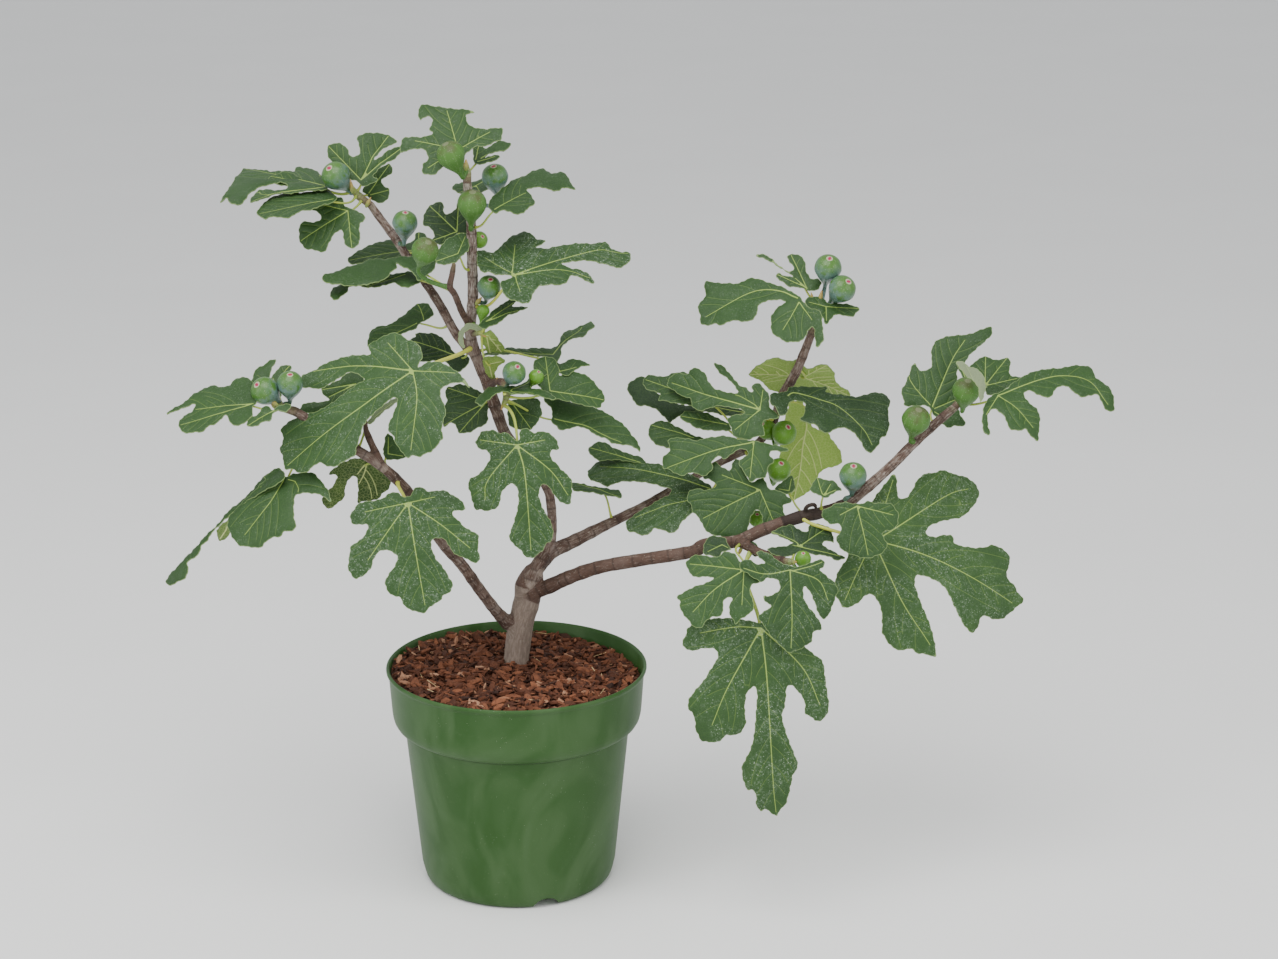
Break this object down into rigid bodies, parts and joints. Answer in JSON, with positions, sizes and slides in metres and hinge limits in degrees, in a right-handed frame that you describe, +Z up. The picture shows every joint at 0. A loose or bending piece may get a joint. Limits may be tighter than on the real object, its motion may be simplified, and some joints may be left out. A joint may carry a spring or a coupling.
{
  "type": "potted fig tree",
  "caption": "Young fig tree with lobed leaves and green figs on spreading branches, standing in a round green nursery pot filled with bark mulch.",
  "frame": {"origin": "centre of the flat underside of the pot, on the floor", "axes": "+Z up; +X to the right as seen from the front, along the tree's widest spread; -Y towards the viewer"},
  "size_m": [0.998, 0.3292, 0.8423],
  "materials": {
    "pot": "satin moulded green plastic",
    "mulch": "rough red-brown bark chips over potting soil",
    "bark": "grey-brown bark with fine streaks and ring scars",
    "leaf": "dark green, slightly rough upper side with pale veins",
    "fig": "smooth green skin with a faint bloom"
  },
  "bodies": {
    "root": {"fig_02": "fig", "fig_03": "fig", "fig_05": "fig", "fig_06": "fig", "fig_07": "fig", "fig_08": "fig", "fig_15": "fig", "fig_16": "fig", "fig_17": "fig", "fig_18": "fig", "fig_19": "fig", "leaf_06": "leaf", "leaf_07": "leaf", "leaf_10": "leaf", "leaf_11": "leaf", "leaf_12": "leaf", "leaf_13": "leaf", "leaf_14": "leaf", "leaf_15": "leaf", "leaf_16": "leaf", "leaf_17": "leaf", "leaf_18": "leaf", "leaf_22": "leaf", "leaf_23": "leaf", "leaf_24": "leaf", "leaf_25": "leaf", "leaf_26": "leaf", "leaf_27": "leaf", "leaf_32": "leaf", "leaf_38": "leaf", "leaf_39": "leaf", "leaf_43": "leaf", "leaf_44": "leaf", "leaf_45": "leaf", "leaf_46": "leaf", "leaf_47": "leaf", "leaf_50": "leaf", "leaf_52": "leaf", "leaf_53": "leaf", "leaf_54": "leaf", "leaf_55": "leaf", "leaf_56": "leaf", "leaf_57": "leaf", "leaf_58": "leaf", "leaf_59": "leaf", "leaf_61": "leaf", "leaf_62": "leaf", "pot": "pot", "soil": "mulch", "spray_low": "leaf", "spray_middle": "leaf", "spray_right": "leaf", "spray_upright": "leaf", "tip_low_left": "leaf", "tip_low_right": "leaf", "tip_middle_right": "leaf", "tip_upright": "leaf", "tip_upright_left": "leaf", "tree_wood": "bark"}
  },
  "joints": []
}
